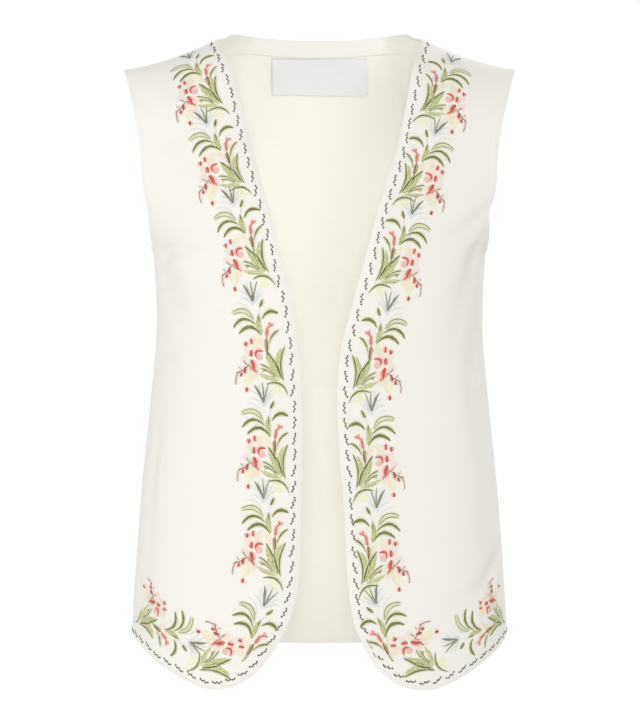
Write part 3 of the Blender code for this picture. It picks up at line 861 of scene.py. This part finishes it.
def place_on(tree, points, lift):
    """The points laid on the cloth and lifted off it, and which of them lie past its edge."""
    laid = np.empty_like(points)
    past = np.zeros(len(points), dtype=bool)
    for number, point in enumerate(points):
        found, square, _, _ = tree.find_nearest(Vector(point))
        square = np.array(square)
        aside = point - np.array(found)
        aside = aside - square * (aside @ square)
        past[number] = np.linalg.norm(aside) > OFF_CLOTH
        laid[number] = np.array(found) + square * lift[number]
    return laid, past


# Shapes of stitching: width along the shape, steps along and across, raggedness and height
SHAPE_WIDTH = {
    "arch": lambda part: np.sin(np.pi * (0.03 + 0.97 * part) ** 1.45) ** 0.5,
    "leaf": lambda part: np.sin(np.pi * np.clip(part, 0, 1) ** 0.85) ** 0.7,
    "petal": lambda part: 1.2 * np.sin(np.pi * (0.10 + 0.90 * part) ** 1.3) ** 0.6,
    "bud": lambda part: np.sqrt(np.clip(1 - (2 * part - 1) ** 2, 0, 1)) ** 0.9,
    "stem": lambda part: np.clip(1 - (2 * part - 1) ** 6, 0, 1) ** 0.5 * (0.75 + 0.25 * part),
}
SHAPE_STEPS = {"arch": (22, 4), "leaf": (22, 4), "petal": (12, 6), "bud": (8, 4), "stem": (12, 4)}
SHAPE_RAGGED = {"arch": 0.20, "leaf": 0.18, "petal": 0.12, "bud": 0.10, "stem": 0.20}
SHAPE_HEIGHT = {"arch": 0.00055, "leaf": 0.00050, "petal": 0.00018, "bud": 0.00060, "stem": 0.00040}


def stitched_shape(rng, shape, start, end, bow, width, layer):
    """Grid of one stitched shape with ragged edges: places in millimetres, heights and UVs."""
    steps, strips = SHAPE_STEPS[shape]
    part = np.linspace(0, 1, steps + 1)[:, None]
    side = np.sin(np.linspace(-np.pi / 2, np.pi / 2, strips + 1))[None, :]
    start, end = np.array(start), np.array(end)
    along = end - start
    length = np.linalg.norm(along)
    normal = np.array([-along[1], along[0]]) / length
    middle = start + part * along + 4 * part * (1 - part) * bow * normal
    slope = along + 4 * (1 - 2 * part) * bow * normal
    slope /= np.linalg.norm(slope, axis=1, keepdims=True)
    across = np.stack([-slope[:, 1], slope[:, 0]], axis=-1)
    wide = SHAPE_WIDTH[shape](part)
    ragged = 1 + SHAPE_RAGGED[shape] * rng.uniform(-1, 1, (steps + 1, 2))
    reach = wide * width / 2 * np.where(side < 0, ragged[:, :1], ragged[:, 1:])
    points = middle[:, None, :] + across[:, None, :] * (side * reach)[:, :, None]
    crown = np.sqrt(np.clip(1 - side ** 2, 0, 1)) * np.clip(2 * wide, 0, 1)
    height = crown * SHAPE_HEIGHT[shape] * min(1.0, 0.5 + width / 8)
    height = height + np.clip(3 * crown, 0, 1) * layer * LAYER_HEIGHT
    places = np.stack([part * length + 0 * side, side * reach], axis=-1) * MILLIMETRE
    return points, height + STITCH_GAP, places


def tangent_frame(tree, x, z, turn, out_sign):
    """Point on a front at x and z, with unit vectors out from the front edge and up, turned."""
    found, square, _, _ = tree.ray_cast(Vector((x, -1.0, z)), Vector((0.0, 1.0, 0.0)))
    square = np.array(square)
    angle = np.radians(turn)
    up = np.array([-np.sin(angle), 0.0, np.cos(angle)])
    up[1] = -(up @ square) / square[1]
    up = unit(up)
    out = np.cross(up, square)
    out = unit(out) * np.sign(out @ np.array([np.cos(angle), 0.0, np.sin(angle)]) * out_sign)
    return np.array(found), out, up


class Stitching:
    """Collects stitched shapes, and lays them on the cloth as one mesh."""

    def __init__(self, seed):
        self.rng = np.random.default_rng(seed)
        self.points, self.lifts, self.places, self.faces, self.threads = [], [], [], [], []
        self.count = 0

    def add(self, made, thread, origin, out, up):
        """Takes in one shape, placed from its origin along out and up."""
        flat, height, places = made
        rows, columns = flat.shape[:2]
        local = flat.reshape(-1, 2) * MILLIMETRE
        self.points.append(origin + local[:, :1] * out + local[:, 1:] * up)
        self.lifts.append(height.reshape(-1))
        self.places.append(places.reshape(-1, 2) + self.rng.uniform(0, 0.2, 2))
        faces = grid_faces(rows, columns, self.count)
        self.faces.append(faces)
        self.threads.append(np.full(len(faces), THREAD_NAMES.index(thread)))
        self.count += rows * columns

    def piece(self, name, tree, threads):
        """One mesh of all the shapes, without the faces that lie past the cloth's edge."""
        laid, past = place_on(tree, np.concatenate(self.points), np.concatenate(self.lifts))
        faces = np.concatenate(self.faces)
        numbers = np.concatenate(self.threads)
        kept = ~past[faces].any(axis=1)
        faces, numbers = faces[kept], numbers[kept]
        corners = laid[faces]
        square = np.cross(corners[:, 2] - corners[:, 0], corners[:, 3] - corners[:, 1])
        looks_in = np.sum(square * np.array([0.0, -1.0, 0.2]), axis=1) < 0
        faces = np.where(looks_in[:, None], faces[:, ::-1], faces)
        return new_mesh(name, laid, faces, np.concatenate(self.places), threads, numbers)


def sew_seeds(work, tree, grid, out_sign):
    """Line of short leaning stitches beside the edge, to and fro, with a thread between them."""
    edge, run = edge_line(grid)
    for group in np.arange(SEEDS_FROM, run[-1] - SEEDS_LAST_GROUP, SEED_GROUP):
        slant = work.rng.uniform(*SEED_SLANT)
        for number in range(SEEDS_IN_GROUP):
            at = group + number * SEED_PITCH
            if at > run[-1] - SEEDS_END:
                continue
            place = interpolated(edge, run, at)
            before = interpolated(edge, run, at - SEED_EDGE_SPAN)
            after = interpolated(edge, run, at + SEED_EDGE_SPAN)
            up = unit(before - after)
            square = np.array(tree.find_nearest(Vector(place))[1])
            into = unit(np.cross(up, square)) * out_sign
            share = number / (SEEDS_IN_GROUP - 1) * slant
            distance = SEED_IN_FIRST + (SEED_IN_LAST - SEED_IN_FIRST) * share
            weave = SEED_WEAVE * (1 - 2 * (number % 2))
            weave = weave + work.rng.uniform(-SEED_WEAVE_SPREAD, SEED_WEAVE_SPREAD)
            origin = place + into * (distance + MILLIMETRE * weave)
            lean = np.radians(SEED_LEAN + work.rng.uniform(-SEED_LEAN_SPREAD, SEED_LEAN_SPREAD))
            half_length = SEED_LENGTH / 2 * np.array([np.sin(lean), np.cos(lean)])
            made = stitched_shape(work.rng, "bud", -half_length, half_length, 0.0, SEED_WIDTH, 0)
            work.add(made, "charcoal", origin, into, up)
            if number < SEEDS_IN_GROUP - 1:
                onward = (-2 * weave, -SEED_PITCH / MILLIMETRE)
                made = stitched_shape(work.rng, "stem", (0.0, 0.0), onward, 0.0, SEED_LINK_WIDTH, 0)
                work.add(made, "slate", origin, into, up)


def embroidery(name, side, grid, threads):
    """All the stitched shapes of one front's border as one mesh."""
    faces = facing_out(grid, grid_faces(*grid.shape[:2]), outward(grid))
    tree = BVHTree.FromPolygons(grid.reshape(-1, 3).tolist(), faces.tolist())
    out_sign = -1 if side == "right" else 1
    work = Stitching(RANDOM_SEEDS[side])
    for half, front, x, z, turn in BORDER:
        if front != side:
            continue
        origin, out, up = tangent_frame(tree, x, z, turn, out_sign)
        for thread, shape, out_1, up_1, out_2, up_2, bow, width, layer in half:
            line = ((out_1, up_1), (out_2, up_2), bow)
            made = stitched_shape(work.rng, shape, *line, width, layer)
            work.add(made, thread, origin, out, up)
            if thread in UNDER_THREADS:
                made = stitched_shape(work.rng, shape, *line, width + UNDER_MARGIN, layer - 1)
                work.add(made, UNDER_THREADS[thread], origin, out, up)
    sew_seeds(work, tree, grid, out_sign)
    return work.piece(name, tree, threads)


def facing_grid(back):
    """Strip under the back neck edge, on the back's inner face."""
    first = COLUMNS_OF_FRONT
    last = back.shape[1] - first
    strip = (back - outward(back) * (CLOTH_WALL + LAID_ON_GAP))[:, first:last]
    drop = strip[-1, :, 2][None, :] - strip[:, :, 2]
    at = np.linspace(0.0, FACING_DROP, FACING_ROWS)
    lines = []
    for place in range(strip.shape[1]):
        lines.append(interpolated(strip[::-1, place], drop[::-1, place], at))
    return np.array(lines).transpose(1, 0, 2)[::-1]


def label_grid():
    """Plain label on the inner face of the back, a little fuller in its middle."""
    x = np.linspace(-LABEL_WIDTH / 2, LABEL_WIDTH / 2, LABEL_COLUMNS)[None, :]
    z = np.linspace(LABEL_TOP_Z - LABEL_HEIGHT, LABEL_TOP_Z, LABEL_ROWS)[:, None] + 0 * x
    z = z - LABEL_SAG * np.sin(x * 40.0) * (LABEL_TOP_Z - z) / LABEL_HEIGHT
    angle = angle_at(np.abs(x) + 0 * z, z)
    grid = body_point(angle, z, True, "none")
    grid[:, :, 0] = x
    down = (LABEL_TOP_Z - z) / LABEL_HEIGHT
    proud = LABEL_FULLNESS * np.sin(np.pi * np.clip(down, 0, 1)) + LABEL_LOW_EDGE_LIFT * down ** 2
    proud = proud + LABEL_WAVE * np.sin(x * 95.0 + 1.0) * down
    return grid - outward(grid) * (CLOTH_WALL + LAID_ON_GAP + LABEL_LIFT + proud)[:, :, None]


def light(name, place, target, size, power):
    lamp = bpy.data.lights.new(name, "AREA")
    lamp.shape = "DISK"
    lamp.size = size
    lamp.energy = power
    made = bpy.data.objects.new(name, lamp)
    made.location = place
    made.rotation_euler = (Vector(target) - Vector(place)).to_track_quat("-Z", "Y").to_euler()
    made.visible_camera = False
    bpy.context.scene.collection.objects.link(made)


def surroundings():
    """White paper all round, which lights the cloth less brightly than the camera sees it."""
    world = bpy.data.worlds.new("Studio")
    world.use_nodes = True
    tree = world.node_tree
    seen = tree.nodes["Background"]
    seen.inputs["Color"].default_value = (1.0, 1.0, 1.0, 1.0)
    seen.inputs["Strength"].default_value = 1.0
    lit = node(tree, "ShaderNodeBackground", [("Color", (1.0, 0.995, 0.985, 1.0)), ("Strength", SKY)])
    ray = node(tree, "ShaderNodeLightPath")
    blend = node(tree, "ShaderNodeMixShader")
    tree.links.new(ray.outputs["Is Camera Ray"], blend.inputs[0])
    tree.links.new(lit.outputs[0], blend.inputs[1])
    tree.links.new(seen.outputs[0], blend.inputs[2])
    tree.links.new(blend.outputs[0], tree.nodes["World Output"].inputs["Surface"])
    bpy.context.scene.world = world


def stage():
    """Pale floor, pale surroundings, soft studio light and the camera."""
    surroundings()
    bpy.ops.mesh.primitive_circle_add(vertices=96, radius=FLOOR_RADIUS, fill_type="NGON",
                                      location=(0, 0, FLOOR_Z))
    floor = bpy.context.object
    floor.name = "floor"
    made, shader = material("floor_paper", 0.9)
    shader.inputs["Base Color"].default_value = (*PAPER, 1.0)
    floor.data.materials.append(made)
    for name, place, aim, size, power in LIGHTS:
        light(name, place, aim, size, power)
    view = bpy.data.cameras.new("Camera")
    view.sensor_fit = "VERTICAL"
    view.sensor_height = SENSOR_HEIGHT
    view.lens = SENSOR_HEIGHT * VIEW_DISTANCE / (PHOTO_HEIGHT * METRES_PER_PIXEL)
    view.clip_end = 50.0
    camera = bpy.data.objects.new("Camera", view)
    camera.location = (0.5 * METRES_PER_PIXEL, -VIEW_DISTANCE, VIEW_MIDDLE_Z)
    camera.rotation_euler = (np.pi / 2, 0, 0)
    bpy.context.scene.collection.objects.link(camera)
    bpy.context.scene.camera = camera
    bpy.context.scene.view_settings.view_transform = "Standard"


ivory, ivory_shader = material("ivory_cloth_woven", 0.82, 0.25)
woven(ivory, ivory_shader, IVORY, 0.00055, 0.35, 0.03)
satin, satin_shader = material("label_satin_woven", 0.42, 0.1)
woven(satin, satin_shader, SATIN, 0.00035, 0.25, 0.04)
threads = [thread_material(name, THREADS[name]) for name in THREAD_NAMES]

right_grid = mirrored(dressed_front("right"))
left_grid = dressed_front("left")
back = dressed_back()
right_front = sheet_piece("right_front_cloth", right_grid, CLOTH_WALL, ivory, CLOTH_EDGE_ROUND)
left_front = sheet_piece("left_front_cloth", left_grid, CLOTH_WALL, ivory, CLOTH_EDGE_ROUND)
back_cloth = sheet_piece("back_cloth", back, CLOTH_WALL, ivory, CLOTH_EDGE_ROUND)
facing = sheet_piece("back_neck_facing_cloth", facing_grid(back), FACING_WALL, ivory, FACING_EDGE_ROUND)
label = sheet_piece("label_cloth", label_grid(), LABEL_WALL, satin, LABEL_EDGE_ROUND)
right_border = embroidery("right_border", "right", right_grid, threads)
left_border = embroidery("left_border", "left", left_grid, threads)

for piece, name, slot in (
    (right_front, "right_front", "ivory_cloth"),
    (left_front, "left_front", "ivory_cloth"),
    (back_cloth, "back", "ivory_cloth"),
    (facing, "back_neck_facing", "ivory_cloth"),
    (label, "label", "label_satin"),
):
    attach(piece, "root")
    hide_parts(name)
for piece in (right_border, left_border):
    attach(piece, "root")
stage()
